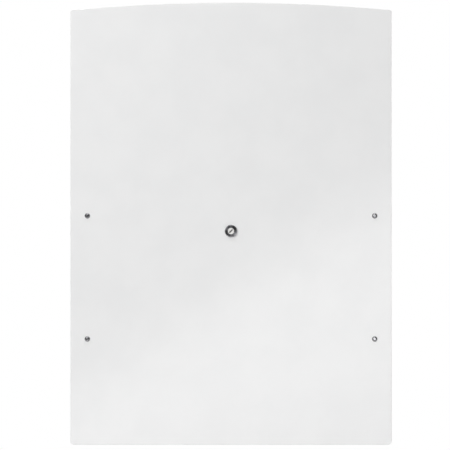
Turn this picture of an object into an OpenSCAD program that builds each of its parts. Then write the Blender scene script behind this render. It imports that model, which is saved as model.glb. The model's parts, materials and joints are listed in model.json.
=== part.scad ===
// Swing gate for a checkout lane: a flat leaf with an arched top on a tube frame,
// a sprung hinge column on a fixed shaft, and a key lock that throws a bolt at the free edge.
// The origin is the middle of the mounting plate's bolt pattern, on the plate's back face.
// +X runs along the closed leaf from the hinge to the free edge, the leaf's front faces -Y, +Z is up.

/* [Leaf panel] */
// Width of the leaf panel
panel_w = 610; // [480:1:760]
// Height of the panel along its side edges
panel_h = 826; // [660:1:1000]
// How much higher the arched top edge is in the middle
arch_rise = 14; // [6:1:30]
// Thickness of the panel
panel_t = 8; // [6:0.5:12]
// Radius of the two bottom corners
bottom_corner_r = 6; // [3:0.5:12]
// Radius of the two top corners
top_corner_r = 4; // [2:0.5:10]

/* [Panel screws] */
// Distance from each side edge to the screws; the hinge axis lies behind the left row
screw_inset = 32; // [28:1:44]
// Height of the lower screw row above the bottom edge
low_row = 201; // [160:1:260]
// Distance between the two screw rows
row_pitch = 234; // [190:1:300]
// Thread diameter of the panel screws
screw_d = 6; // [5:1:7]
// Length of the panel screws under the head
screw_len = 16; // [14:1:17]
// Diameter of the bosses that the screws run into
boss_d = 16; // [12:1:18]
// Thickness of the soft pads between the panel and the bosses
pad_t = 1.5; // [0.5:0.5:3]

/* [Rear frame] */
// Height of the rails and width of the free stile
rail_h = 30; // [25:1:38]
// Depth of the rails and the stile
rail_d = 15; // [12:1:25]
// Wall of the rails and the stile
rail_wall = 2; // [1.5:0.5:3]
// Gap between the panel and the rails, filled by the pads and bosses
frame_gap = 12; // [10:0.5:20]

/* [Hinge] */
// Outer diameter of the turning column
column_d = 38; // [36:1:50]
// Wall of the column
column_wall = 2.5; // [2:0.25:3]
// Diameter of the fixed pivot shaft
shaft_d = 16; // [12:1:17]
// Angle through which the leaf opens
swing = 90; // [60:5:100]
// Length of column above the upper rail and below the lower rail
column_over = 13; // [8:1:30]
// Length of each bush inside the column
bush_len = 20; // [12:1:30]
// Thickness of the bush flanges
flange_t = 3; // [2:0.5:5]
// Thickness of the thrust washer
washer_t = 2; // [1:0.5:4]
// Wire diameter of the closing spring
wire_d = 3; // [2:0.25:3.5]
// Number of turns of the closing spring
turns = 14; // [8:1:20]

/* [Mounting] */
// Thickness of the mounting plate
plate_t = 6; // [4:1:10]
// How far the plate reaches past each bearing bracket
plate_over = 38; // [30:1:60]
// Diameter of the mounting holes
mount_hole_d = 9; // [6.5:0.5:11]
// Thickness of the bearing brackets
ear_t = 12; // [10:1:20]
// Space left between the opened leaf's edge and the mounting plate
swing_gap = 16; // [8:1:40]

/* [Lock] */
// How far the lock's centre lies below the upper screw row
lock_drop = 29; // [28:1:45]
// Diameter of the lock's front rim
rim_d = 23.4; // [21.5:0.1:27]
// Diameter of the lock's threaded barrel
barrel_d = 19; // [17.5:0.5:20]
// Width of the barrel across its two flats
barrel_flats = 16; // [15:0.5:17]
// Length of the barrel behind the panel's front face
barrel_len = 30; // [26:1:32]
// Diameter of the key plug
plug_d = 12; // [10:0.5:13]
// Angle through which the key turns
key_turn = 90; // [60:5:100]
// Distance from the lock's centre to the crank pin
crank_r = 17; // [15:0.5:21]
// Diameter of the crank pin
crank_pin_d = 6; // [4:0.5:7]

/* [Bolt] */
// Diameter of the bolt rod
rod_d = 10; // [8:0.5:12]
// Diameter of the bolt's nose
nose_d = 12; // [11:0.5:16]
// Length of the bolt's nose
nose_len = 24; // [16:1:28]
// Gap between the bolt rod and the back of the frame
rod_gap = 3; // [2:0.5:6]
// Width of each rod guide along the rod
guide_w = 14; // [10:1:18]
// Thickness of the yoke plate
yoke_t = 4; // [3:0.5:5]

/* [Hidden] */
$fn = 96;

// clearances
run_gap = 0.05;       // a shaft that turns in its bush
slide_gap = 0.1;      // the rod in its guides and the barrel in its hole, all round
hole_gap = 0.3;       // a screw or a wire in a hole that it passes through
free_gap = 0.5;       // faces that pass each other
touch_gap = 0.3;      // a stop at the end of its travel
cope_step = 1;        // how far the rails' front lies behind the column's front
eps = 1;              // how far a cutter runs past what it cuts
bury = 0.5;           // how far a piece of one solid runs into the piece that it stands on

// small screws: a socket screw that holds collars and cranks, and its flat head
small_screw_r = 2.5;
small_head_r = 4.6;
small_head_h = 3;
small_key = 3;        // across the flats of its key
grub_key = 2.5;       // across the flats of a set screw's key
socket_share = 0.55;  // how deep a key socket goes, as a share of the head's height

// hinge, from the mounting plate forwards
column_r = column_d / 2;
column_ir = column_r - column_wall;
shaft_r = shaft_d / 2;
axis_y = -(plate_t + swing_gap + screw_inset);
rail_y0 = axis_y - column_r + cope_step;
rail_y1 = rail_y0 + rail_d;
panel_y1 = rail_y0 - frame_gap;
panel_y0 = panel_y1 - panel_t;

// panel, screws and frame
row_z = row_pitch / 2;
panel_z0 = -row_z - low_row;
panel_x0 = -screw_inset;
panel_mid_x = panel_x0 + panel_w / 2;
far_x = panel_w - 2 * screw_inset;
boss_r = boss_d / 2;
screw_r = screw_d / 2;
screw_head_r = 0.875 * screw_d;
screw_head_h = 0.55 * screw_d;
screw_key = 0.667 * screw_d;
boss_gap = 1;         // between a left screw's boss and the rail that starts beside it
rail_x0 = boss_r + boss_gap;
rail_x1 = far_x + rail_h / 2;
rail_in_z = row_z - rail_h / 2;
cap_t = 2;
cap_plug = 10;        // how far an end cap reaches into its rail
cap_inset = rail_wall + 0.2;

// column and what turns with it
column_z = row_z + rail_h / 2 + column_over;
bush_gap = 0.5;
ear_low_z = -column_z - flange_t - washer_t;
ear_high_z = column_z + flange_t + bush_gap;
ear_r = column_r + 1;
ear_shoulder = 0.5;   // how much narrower the bracket's tongue is than its round end, each side
washer_r = column_r - 3;

// closing spring and its two holders
wire_r = wire_d / 2;
coil_gap = 2;         // between the shaft and the coil, which tightens as it winds up
coil_r = shaft_r + coil_gap + wire_r;
coil_pitch = wire_d * 1.2;
coil_len = turns * coil_pitch;
bend_r = 4;
collar_wall = 1.5;    // what is left of the collar outside the spring's tail
collar_r = coil_r + wire_r + collar_wall;
collar_h = 12;
collar_z = -column_z + bush_len + 3;
coil_z = collar_z + collar_h + bend_r;
anchor_z = coil_z + coil_len + bend_r;
anchor_h = 12;
tail_len = 8;
tail_hole_r = wire_r + hole_gap;
spring_end_turn = 2 * bend_r / coil_r * 180 / PI;
wire_sides = 6;
coil_steps = 18;      // straight pieces in one turn of the coil
bend_steps = 5;       // straight pieces in one bend of a tail

// opening stop: a sleeved pin in the shaft and a slot round the column
stop_pin_r = 3;
stop_sleeve_r = 5;
stop_over = 35;       // how far the pin stands above the spring's anchor
stop_z = anchor_z + anchor_h + stop_over;
stop_reach = column_r + 3;
slot_half_h = stop_sleeve_r + free_gap;
slot_pad = asin((stop_sleeve_r + touch_gap) / column_ir);

// mounting plate
plate_margin = 10;    // how far the plate reaches past the brackets at each side
plate_w = 2 * (ear_r + plate_margin);
plate_z = max(-ear_low_z, ear_high_z) + ear_t + plate_over;
mount_x = plate_w / 2 - 12;
mount_z = plate_z - 15;
plate_corner_r = 8;
bracket_screw_x = 11;
bracket_screw_r = 3;
bracket_head_r = 6;
bracket_head_h = 3;
bracket_screw_len = 26;
bracket_key = 3.5;
bracket_socket = 2;
shaft_proud = 3;
shaft_chamfer = 1;
shaft_cap_wall = 4;
shaft_cap_chamfer = 2;

// lock; the rim's profile is a flat ring, a groove and a raised lip round the plug
lock_x = panel_mid_x;
lock_z = row_z - lock_drop;
rim_r = rim_d / 2;
barrel_r = barrel_d / 2;
barrel_end = panel_y0 + barrel_len;
plug_r = plug_d / 2;
rim_h = 2.9;
rim_edge = 1.3;
groove_h = 2.3;
lip_h = 3.1;
lip_w = 1.9;
lip_edge = 0.4;
groove_w = 0.8;
plug_proud = 2.6;     // how far the plug's face stands in front of the panel
keyway_w = 2.2;
keyway_h = 8.6;
keyway_depth = 22;
lock_washer_t = 1;
lock_washer_w = 1;    // how far the washer reaches past the nut
lock_nut_t = 5;
lock_nut_flats = barrel_d + 3;
crank_screw_len = 8;
crank_t = 3;
crank_y0 = barrel_end + free_gap;
crank_y1 = crank_y0 + crank_t;
crank_tip_r = crank_pin_d;
crank_hub_r = 9;
crank_waist = 1;      // how much narrower the crank's arm is than its tip, each side
drive_square = 7;
crank_pin_r = crank_pin_d / 2;

// bolt rod, at rest with the bolt drawn back
throw = 2 * crank_r * sin(key_turn / 2);
rod_r = rod_d / 2;
rod_y = rail_y1 + rod_gap + rod_r;
rod_z = lock_z - crank_r * (1 + cos(key_turn / 2)) / 2;
rod_flat = 3;
yoke_y1 = rod_y - rod_r + rod_flat;
yoke_y0 = yoke_y1 - yoke_t;
crank_clear = 1;      // between the crank's sweep and the rod, and round the pin's travel
rod_x0 = lock_x + crank_r + crank_tip_r + crank_clear;
yoke_lap = 28;
yoke_slot_gap = 0.7;
yoke_slot_x = lock_x - throw / 2;
yoke_slot_r = crank_pin_r + yoke_slot_gap;
yoke_slot_z0 = lock_z - crank_r - crank_pin_r - crank_clear;
yoke_slot_z1 = lock_z - crank_r * cos(key_turn / 2) + crank_pin_r + crank_clear;
yoke_rim = 3.5;
yoke_end = 5;
yoke_x0 = yoke_slot_x - yoke_slot_r - yoke_end;
yoke_x1 = rod_x0 + yoke_lap;
rivet_r = 2;
rivet_head_r = 3.4;
rivet_head_h = 1.2;
guide_y1 = rail_y1 + 2 * (rod_gap + rod_r);
guide_screw_r = 2;
guide_head_r = 3.8;
guide_head_h = 2.2;
guide_bite = 3;       // how far a guide screw reaches past the wall it is tapped into
guide_clear = 8;      // between the thrown yoke and the inner guide
inner_guide_x = yoke_x1 + throw + guide_clear;
outer_guide_x = far_x - rail_h / 2;
outer_screw_z = rod_r + 7;
outer_guide_half = outer_screw_z + 6;
inner_screw_z = rail_h / 5;
guide_foot = rod_r + 4;
nose_gap = 2;         // between the outer guide and the bolt's nose
nose_x0 = outer_guide_x + guide_w + nose_gap;
nose_r = nose_d / 2;
nose_lap = 12;
nose_chamfer = 2;

// ---- drawing helpers -------------------------------------------------------

// an outline drawn in X and Z, standing from y0 to y1
module standing(y0, y1) {
    translate([0, y1, 0]) rotate([90, 0, 0]) linear_extrude(y1 - y0) children();
}

module rod_along_y(r, y0, y1) {
    translate([0, y0, 0]) rotate([-90, 0, 0]) cylinder(r = r, h = y1 - y0);
}

module rod_along_x(r, x0, x1) {
    translate([x0, 0, 0]) rotate([0, 90, 0]) cylinder(r = r, h = x1 - x0);
}

module box(lo, hi) {
    translate(lo) cube(hi - lo);
}

module ring(r_out, r_in, h) {
    difference() {
        cylinder(r = r_out, h = h);
        translate([0, 0, -eps]) cylinder(r = r_in, h = h + 2 * eps);
    }
}

// what is cut off a corner so that an arc of radius r between two directions is left
module corner_cut(c, r, a0, a1) {
    mid = (a0 + a1) / 2;
    translate(c) difference() {
        polygon([[0, 0], 2 * r * [cos(a0), sin(a0)], 3 * r * [cos(mid), sin(mid)],
                 2 * r * [cos(a1), sin(a1)]]);
        circle(r = r);
    }
}

module hexagon(flats) {
    circle(d = flats / cos(30), $fn = 6);
}

// the key socket of a head that faces +Y and ends at y1
module back_socket(flats, y1, depth) {
    standing(y1 - depth, y1 + eps) hexagon(flats);
}

// a flat screw head that stands on y0 and faces +Y, with its shank down to shank_y
module back_screw(head_r, head_h, key, shank_r, shank_y, y0) {
    difference() {
        union() {
            rod_along_y(head_r, y0, y0 + head_h);
            rod_along_y(shank_r, shank_y, y0 + bury);
        }
        back_socket(key, y0 + head_h, socket_share * head_h);
    }
}

module at_hinge() {
    translate([0, axis_y, 0]) children();
}

module at_lock() {
    translate([lock_x, 0, lock_z]) children();
}

// the turning parts of the lock, drawn with the crank down and set to the drawn-back bolt
module at_plug() {
    at_lock() rotate([0, key_turn / 2, 0]) children();
}

module at_each_screw() {
    for (x = [0, far_x]) for (z = [-row_z, row_z]) translate([x, 0, z]) children();
}

// ---- leaf ------------------------------------------------------------------

module panel_outline() {
    arch_r = (pow(panel_w / 2, 2) + pow(arch_rise, 2)) / (2 * arch_rise);
    arch_z = panel_h + arch_rise - arch_r;
    top_x = panel_w / 2 - top_corner_r;
    top_z = arch_z + sqrt(pow(arch_r - top_corner_r, 2) - pow(top_x, 2));
    lean = atan2(top_z - arch_z, top_x);
    low_x = panel_w / 2 - bottom_corner_r;
    difference() {
        intersection() {
            translate([-panel_w / 2, 0]) square([panel_w, panel_h + arch_rise + eps]);
            translate([0, arch_z]) circle(r = arch_r, $fn = 2400);
        }
        corner_cut([low_x, bottom_corner_r], bottom_corner_r, -90, 0);
        corner_cut([-low_x, bottom_corner_r], bottom_corner_r, 180, 270);
        corner_cut([top_x, top_z], top_corner_r, 0, lean);
        corner_cut([-top_x, top_z], top_corner_r, 180 - lean, 180);
    }
}

module barrel_outline(gap = 0) {
    intersection() {
        circle(r = barrel_r + gap);
        square([barrel_flats + 2 * gap, 2 * barrel_r + eps + 2 * gap], center = true);
    }
}

module leaf_panel() {
    color("whitesmoke") difference() {
        translate([panel_mid_x, 0, panel_z0]) standing(panel_y0, panel_y1) panel_outline();
        at_each_screw() rod_along_y(screw_r + hole_gap, panel_y0 - eps, panel_y1 + eps);
        at_lock() standing(panel_y0 - eps, panel_y1 + eps) barrel_outline(slide_gap);
    }
}

// a round head with a low dome and a narrow straight edge, its flat face on the panel
module button_head(r, h) {
    dome_r = (r * r + h * h) / (2 * h);
    edge = 0.985;
    rotate([90, 0, 0]) intersection() {
        translate([0, 0, h - dome_r]) sphere(r = dome_r);
        cylinder(r = edge * r, h = h);
    }
}

module panel_screws() {
    color("silver") at_each_screw() translate([0, panel_y0, 0]) {
        difference() {
            button_head(screw_head_r, screw_head_h);
            standing(-screw_head_h - eps, -(1 - socket_share) * screw_head_h) hexagon(screw_key);
        }
        rod_along_y(screw_r, 0, screw_len);
    }
}

module panel_pads() {
    color("dimgray") at_each_screw() translate([0, panel_y1 + pad_t, 0])
        rotate([90, 0, 0]) ring(boss_r, screw_r + hole_gap, pad_t);
}

module panel_bosses() {
    color("gainsboro") difference() {
        at_each_screw() difference() {
            rod_along_y(boss_r, panel_y1 + pad_t, rail_y0);
            rod_along_y(screw_r, panel_y1, rail_y0 + eps);
        }
        at_hinge() cylinder(r = column_r, h = 2 * column_z, center = true);
    }
}

module hinge_column() {
    color("gainsboro") at_hinge() difference() {
        translate([0, 0, -column_z]) ring(column_r, column_ir, 2 * column_z);
        // the stop pin's slot
        translate([0, 0, stop_z - slot_half_h])
            rotate([0, 0, 90 - slot_pad]) rotate_extrude(angle = swing + 2 * slot_pad)
                translate([column_ir - eps, 0]) square([column_wall + 2 * eps, 2 * slot_half_h]);
        // a hole to reach the collar's set screw, and the anchor screw's hole
        translate([0, 0, collar_z + collar_h / 2])
            rod_along_y(small_screw_r + 1, column_ir - eps, column_r + eps);
        translate([0, 0, anchor_z + anchor_h / 2])
            rod_along_x(small_screw_r, -column_r - eps, -column_ir + eps);
    }
}

// a rail with its end shaped to the column
module rail(z) {
    difference() {
        box([rail_x0, rail_y0, z - rail_h / 2], [rail_x1, rail_y1, z + rail_h / 2]);
        box([rail_x0 - eps, rail_y0 + rail_wall, z - rail_h / 2 + rail_wall],
            [rail_x1 + eps, rail_y1 - rail_wall, z + rail_h / 2 - rail_wall]);
        at_hinge() cylinder(r = column_r, h = 2 * column_z, center = true);
    }
}

module upper_rail() {
    color("gainsboro") difference() {
        rail(row_z);
        at_inner_guide_screws() guide_screw_hole();
    }
}

module lower_rail() {
    color("gainsboro") rail(-row_z);
}

module free_stile() {
    color("gainsboro") difference() {
        box([far_x - rail_h / 2, rail_y0, -rail_in_z], [far_x + rail_h / 2, rail_y1, rail_in_z]);
        box([far_x - rail_h / 2 + rail_wall, rail_y0 + rail_wall, -rail_in_z - eps],
            [far_x + rail_h / 2 - rail_wall, rail_y1 - rail_wall, rail_in_z + eps]);
        at_outer_guide_screws() guide_screw_hole();
    }
}

module rail_end_caps() {
    color("black") for (z = [-row_z, row_z]) {
        box([rail_x1, rail_y0, z - rail_h / 2], [rail_x1 + cap_t, rail_y1, z + rail_h / 2]);
        box([rail_x1 - cap_plug, rail_y0 + cap_inset, z - rail_h / 2 + cap_inset],
            [rail_x1 + bury, rail_y1 - cap_inset, z + rail_h / 2 - cap_inset]);
    }
}

// ---- hinge -----------------------------------------------------------------

module bush() {
    difference() {
        union() {
            cylinder(r = column_r, h = flange_t);
            translate([0, 0, flange_t / 2]) cylinder(r = column_ir, h = bush_len + flange_t / 2);
        }
        translate([0, 0, -eps]) cylinder(r = shaft_r + run_gap, h = bush_len + flange_t + 2 * eps);
    }
}

module upper_bush() {
    color("ivory") at_hinge() translate([0, 0, column_z + flange_t]) mirror([0, 0, 1]) bush();
}

module lower_bush() {
    color("ivory") at_hinge() translate([0, 0, -column_z - flange_t]) bush();
}

module spring_anchor() {
    color("slategray") at_hinge() difference() {
        translate([0, 0, anchor_z]) ring(column_ir, shaft_r + free_gap, anchor_h);
        rotate([0, 0, spring_end_turn]) translate([coil_r, 0, anchor_z - eps])
            cylinder(r = tail_hole_r, h = anchor_h + 2 * eps);
        translate([0, 0, anchor_z + anchor_h / 2])
            rod_along_x(small_screw_r, -column_r, -shaft_r - coil_gap);
    }
}

// its head faces -X and is hollowed underneath to sit on the round column
module anchor_screw() {
    top = -column_r - small_head_h;
    color("silver") at_hinge() translate([0, 0, anchor_z + anchor_h / 2]) {
        difference() {
            rod_along_x(small_head_r, top, -column_r + bury);
            cylinder(r = column_r, h = 3 * small_head_r, center = true);
            translate([top - eps, 0, 0]) rotate([0, 90, 0])
                linear_extrude(eps + socket_share * small_head_h) hexagon(small_key);
        }
        rod_along_x(small_screw_r, -column_r - bury, -shaft_r - coil_gap);
    }
}

module mounting_plate() {
    w = plate_w / 2;
    c = plate_corner_r;
    color("gainsboro") difference() {
        standing(-plate_t, 0) difference() {
            square([plate_w, 2 * plate_z], center = true);
            for (a = [0, 90, 180, 270]) {
                sx = (a == 0 || a == 270) ? 1 : -1;
                sz = a < 180 ? 1 : -1;
                corner_cut([sx * (w - c), sz * (plate_z - c)], c, a, a + 90);
            }
        }
        for (x = [-mount_x, mount_x]) for (z = [-mount_z, mount_z])
            translate([x, 0, z]) rod_along_y(mount_hole_d / 2, -plate_t - eps, eps);
        at_each_bracket_screw() {
            rod_along_y(bracket_screw_r + hole_gap, -plate_t - eps, eps);
            countersink();
        }
    }
}

// the cone of a bracket screw's head, whose wide end lies on the plate's back face
module countersink() {
    translate([0, -bracket_head_h, 0]) rotate([-90, 0, 0])
        cylinder(r1 = bracket_screw_r, r2 = bracket_head_r, h = bracket_head_h);
}

module at_each_bracket_screw() {
    for (x = [-bracket_screw_x, bracket_screw_x])
        for (z = [ear_low_z - ear_t / 2, ear_high_z + ear_t / 2])
            translate([x, 0, z]) children();
}

// a bearing bracket: a thick tongue with a round end that holds the shaft
module bracket(z) {
    difference() {
        translate([0, 0, z]) linear_extrude(ear_t) union() {
            translate([0, axis_y]) circle(r = ear_r);
            translate([-ear_r + ear_shoulder, axis_y])
                square([2 * (ear_r - ear_shoulder), -plate_t - axis_y]);
        }
        at_hinge() translate([0, 0, z - eps]) cylinder(r = shaft_r, h = ear_t + 2 * eps);
        at_each_bracket_screw() rod_along_y(bracket_screw_r, -bracket_screw_len, 0);
        at_hinge() translate([0, 0, z + ear_t / 2])
            rod_along_x(small_screw_r, shaft_r - eps, ear_r + eps);
    }
}

module upper_bracket() {
    color("gainsboro") bracket(ear_high_z);
}

module lower_bracket() {
    color("gainsboro") bracket(ear_low_z - ear_t);
}

module bracket_screws() {
    color("silver") at_each_bracket_screw() difference() {
        union() {
            countersink();
            rod_along_y(bracket_screw_r, -bracket_screw_len, -bracket_head_h + bury);
        }
        back_socket(bracket_key, 0, bracket_socket);
    }
}

module pivot_shaft() {
    z0 = ear_low_z - ear_t - shaft_proud;
    z1 = ear_high_z + ear_t + shaft_proud;
    c = shaft_chamfer;
    color("silver") at_hinge() difference() {
        union() {
            translate([0, 0, z0 + c]) cylinder(r = shaft_r, h = z1 - z0 - 2 * c);
            translate([0, 0, z0]) cylinder(r1 = shaft_r - c, r2 = shaft_r, h = c);
            translate([0, 0, z1 - c]) cylinder(r1 = shaft_r, r2 = shaft_r - c, h = c);
        }
        translate([0, 0, stop_z]) rod_along_y(stop_pin_r, -column_r, column_r);
    }
}

module shaft_caps() {
    cap_r = shaft_r + shaft_cap_wall;
    cap_h = shaft_proud + shaft_cap_wall;
    c = shaft_cap_chamfer;
    color("black") at_hinge()
        for (end = [[ear_high_z + ear_t, 0], [ear_low_z - ear_t, 180]])
            translate([0, 0, end[0]]) rotate([end[1], 0, 0]) difference() {
                rotate_extrude() polygon([[0, 0], [cap_r, 0], [cap_r, cap_h - c],
                                          [cap_r - c, cap_h], [0, cap_h]]);
                translate([0, 0, -eps]) cylinder(r = shaft_r, h = eps + shaft_proud);
            }
}

// a headless screw along +X with its socket at the outer end
module grub_screw(x0, x1) {
    difference() {
        rod_along_x(small_screw_r, x0, x1);
        translate([x1 - grub_key, 0, 0]) rotate([0, 90, 0])
            linear_extrude(grub_key + eps) hexagon(grub_key);
    }
}

module shaft_set_screws() {
    color("dimgray") at_hinge() for (z = [ear_low_z - ear_t / 2, ear_high_z + ear_t / 2])
        translate([0, 0, z]) grub_screw(shaft_r, ear_r - shaft_chamfer);
}

module thrust_washer() {
    color("silver") at_hinge() translate([0, 0, ear_low_z]) ring(washer_r, shaft_r, washer_t);
}

// The spring's wire lies on a cylinder of radius coil_r. A stop on its route is [angle round
// the cylinder, height, lean], where a lean of 0 runs straight up and 90 runs round the coil.
function bend_turn(lean) = bend_r * (1 - cos(lean)) / coil_r * 180 / PI;

function spring_route() =
    let (slope = atan(coil_pitch / (2 * PI * coil_r)), last = bend_turn(90) + 360 * turns)
    concat(
        [[0, coil_z - bend_r - tail_len, 0]],
        [for (k = [0 : bend_steps - 1]) let (b = 90 * k / bend_steps)
            [bend_turn(b), coil_z - bend_r * (1 - sin(b)), b]],
        [for (k = [0 : turns * coil_steps])
            [bend_turn(90) + 360 * k / coil_steps, coil_z + coil_pitch * k / coil_steps, 90 - slope]],
        [for (k = [1 : bend_steps]) let (b = 90 - 90 * k / bend_steps)
            [last + bend_turn(90) - bend_turn(b), coil_z + coil_len + bend_r * (1 - sin(b)), b]],
        [[last + bend_turn(90), coil_z + coil_len + bend_r + tail_len, 0]]
    );

// the loop of points round the wire at one stop of its route
function wire_loop(stop) =
    let (out = [cos(stop[0]), sin(stop[0]), 0],
         travel = sin(stop[2]) * [-sin(stop[0]), cos(stop[0]), 0] + cos(stop[2]) * [0, 0, 1],
         side = cross(travel, out))
    [for (k = [0 : wire_sides - 1]) let (a = 360 * k / wire_sides)
        coil_r * out + [0, 0, stop[1]] + wire_r * (cos(a) * out + sin(a) * side)];

module closing_spring() {
    n = wire_sides;
    route = spring_route();
    last = n * (len(route) - 1);
    points = [for (stop = route) each wire_loop(stop)];
    walls = [for (i = [0 : n : last - n]) for (k = [0 : n - 1])
        let (a = i + k, b = i + (k + 1) % n)
        each [[a, a + n, b], [b, a + n, b + n]]];
    ends = [[for (k = [0 : n - 1]) k], [for (k = [n - 1 : -1 : 0]) last + k]];
    color("dimgray") at_hinge() polyhedron(points, concat(walls, ends));
}

module spring_collar() {
    color("slategray") at_hinge() difference() {
        translate([0, 0, collar_z]) ring(collar_r, shaft_r, collar_h);
        translate([coil_r, 0, collar_z - eps]) cylinder(r = tail_hole_r, h = collar_h + 2 * eps);
        translate([0, 0, collar_z + collar_h / 2])
            rod_along_y(small_screw_r, shaft_r - eps, collar_r + eps);
    }
}

module collar_set_screw() {
    color("dimgray") at_hinge() translate([0, 0, collar_z + collar_h / 2])
        rotate([0, 0, 90]) grub_screw(shaft_r, collar_r - bury);
}

module stop_pin() {
    color("silver") at_hinge() translate([0, 0, stop_z])
        rod_along_y(stop_pin_r, -shaft_r, stop_reach);
}

module stop_sleeve() {
    color("black") at_hinge() translate([0, column_ir - 1, stop_z]) rotate([-90, 0, 0])
        ring(stop_sleeve_r, stop_pin_r, stop_reach - column_ir);
}

// ---- lock ------------------------------------------------------------------

module lock_body() {
    bore = plug_r + run_gap;
    lip_r = bore + lip_w;
    groove_r = lip_r + lip_edge + groove_w;
    color("silver") at_lock() difference() {
        union() {
            translate([0, panel_y0, 0]) rotate([90, 0, 0]) rotate_extrude() polygon([
                [bore, 0], [bore, lip_h - lip_edge], [bore + lip_edge, lip_h], [lip_r, lip_h],
                [lip_r + lip_edge, groove_h], [groove_r, groove_h], [groove_r + lip_edge, rim_h],
                [rim_r - rim_edge, rim_h], [rim_r, rim_h - rim_edge], [rim_r, 0]]);
            standing(panel_y0 - bury, barrel_end) barrel_outline();
        }
        rod_along_y(bore, panel_y0 - eps, barrel_end + eps);
    }
}

module lock_washer() {
    color("silver") at_lock() translate([0, panel_y1 + lock_washer_t, 0])
        rotate([90, 0, 0]) ring(lock_nut_flats / 2 + lock_washer_w, barrel_r, lock_washer_t);
}

module lock_nut() {
    y0 = panel_y1 + lock_washer_t;
    color("silver") at_lock() difference() {
        standing(y0, y0 + lock_nut_t) hexagon(lock_nut_flats);
        rod_along_y(barrel_r, y0 - eps, y0 + lock_nut_t + eps);
    }
}

module key_plug() {
    face_y = panel_y0 - plug_proud;
    color("silver") at_plug() difference() {
        union() {
            rod_along_y(plug_r, face_y, crank_y0);
            box([-drive_square / 2, crank_y0 - bury, -drive_square / 2],
                [drive_square / 2, crank_y1, drive_square / 2]);
        }
        box([-keyway_w / 2, face_y - eps, -keyway_h / 2],
            [keyway_w / 2, face_y + keyway_depth, keyway_h / 2]);
        rod_along_y(small_screw_r, crank_y1 - crank_screw_len, crank_y1 + eps);
    }
}

module crank_plate() {
    half_w = crank_tip_r - crank_waist;
    color("slategray") at_plug() standing(crank_y0, crank_y1) difference() {
        union() {
            circle(r = crank_hub_r);
            translate([0, -crank_r]) circle(r = crank_tip_r);
            translate([-half_w, -crank_r]) square([2 * half_w, crank_r]);
        }
        square(drive_square, center = true);
        translate([0, -crank_r]) circle(r = crank_pin_r);
    }
}

module crank_pin() {
    color("silver") at_plug() translate([0, 0, -crank_r])
        rod_along_y(crank_pin_r, crank_y0, yoke_y1 + bury);
}

module crank_screw() {
    color("silver") at_plug() back_screw(small_head_r, small_head_h, small_key,
                                         small_screw_r, crank_y1 - crank_screw_len, crank_y1);
}

// ---- bolt ------------------------------------------------------------------

module at_rod() {
    translate([0, rod_y, rod_z]) children();
}

module at_each_rivet() {
    for (k = [1, 3]) translate([rod_x0 + k * yoke_lap / 4, 0, rod_z]) children();
}

module bolt_rod() {
    color("silver") difference() {
        at_rod() rod_along_x(rod_r, rod_x0, nose_x0 + nose_lap);
        box([rod_x0 - eps, rod_y - rod_r - eps, rod_z - rod_r - eps],
            [yoke_x1, yoke_y1, rod_z + rod_r + eps]);
        at_each_rivet() rod_along_y(rivet_r, yoke_y0, rod_y + rod_r + eps);
    }
}

module bolt_nose() {
    end = nose_x0 + nose_len;
    color("silver") at_rod() difference() {
        union() {
            rod_along_x(nose_r, nose_x0, end - nose_chamfer);
            translate([end - nose_chamfer, 0, 0]) rotate([0, 90, 0])
                cylinder(r1 = nose_r, r2 = nose_r - nose_chamfer, h = nose_chamfer);
        }
        rod_along_x(rod_r, nose_x0 - eps, nose_x0 + nose_lap);
    }
}

module bolt_yoke() {
    color("slategray") difference() {
        box([yoke_x0, yoke_y0, yoke_slot_z0 - yoke_rim], [yoke_x1, yoke_y1, yoke_slot_z1 + yoke_rim]);
        box([yoke_slot_x - yoke_slot_r, yoke_y0 - eps, yoke_slot_z0],
            [yoke_slot_x + yoke_slot_r, yoke_y1 + eps, yoke_slot_z1]);
        at_each_rivet() rod_along_y(rivet_r, yoke_y0 - eps, yoke_y1 + eps);
    }
}

// flat-headed on the yoke's side and set off just past the rod on the other
module yoke_rivets() {
    color("silver") at_each_rivet() {
        rod_along_y(rivet_head_r, yoke_y0 - rivet_head_h, yoke_y0);
        rod_along_y(rivet_r, yoke_y0 - bury, rod_y + rod_r + rivet_head_h);
    }
}

module guide_block(x, z0, z1) {
    difference() {
        box([x, rail_y1, z0], [x + guide_w, guide_y1, z1]);
        at_rod() rod_along_x(rod_r + slide_gap, x - eps, x + guide_w + eps);
    }
}

module at_inner_guide_screws() {
    for (k = [-1, 1]) translate([inner_guide_x + guide_w / 2, 0, row_z + k * inner_screw_z])
        children();
}

module at_outer_guide_screws() {
    for (k = [-1, 1]) translate([outer_guide_x + guide_w / 2, 0, rod_z + k * outer_screw_z])
        children();
}

// the tapped hole of one guide screw through the guide and the wall behind it
module guide_screw_hole() {
    rod_along_y(guide_screw_r, rail_y1 - rail_wall - guide_bite, guide_y1 + bury);
}

module inner_guide() {
    color("black") difference() {
        guide_block(inner_guide_x, rod_z - guide_foot, row_z + rail_h / 2);
        at_inner_guide_screws() guide_screw_hole();
    }
}

module outer_guide() {
    color("black") difference() {
        guide_block(outer_guide_x, rod_z - outer_guide_half, rod_z + outer_guide_half);
        at_outer_guide_screws() guide_screw_hole();
    }
}

module guide_screws() {
    shank_y = rail_y1 - rail_wall - guide_bite;
    color("silver") {
        at_inner_guide_screws()
            back_screw(guide_head_r, guide_head_h, grub_key, guide_screw_r, shank_y, guide_y1);
        at_outer_guide_screws()
            back_screw(guide_head_r, guide_head_h, grub_key, guide_screw_r, shank_y, guide_y1);
    }
}

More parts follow.
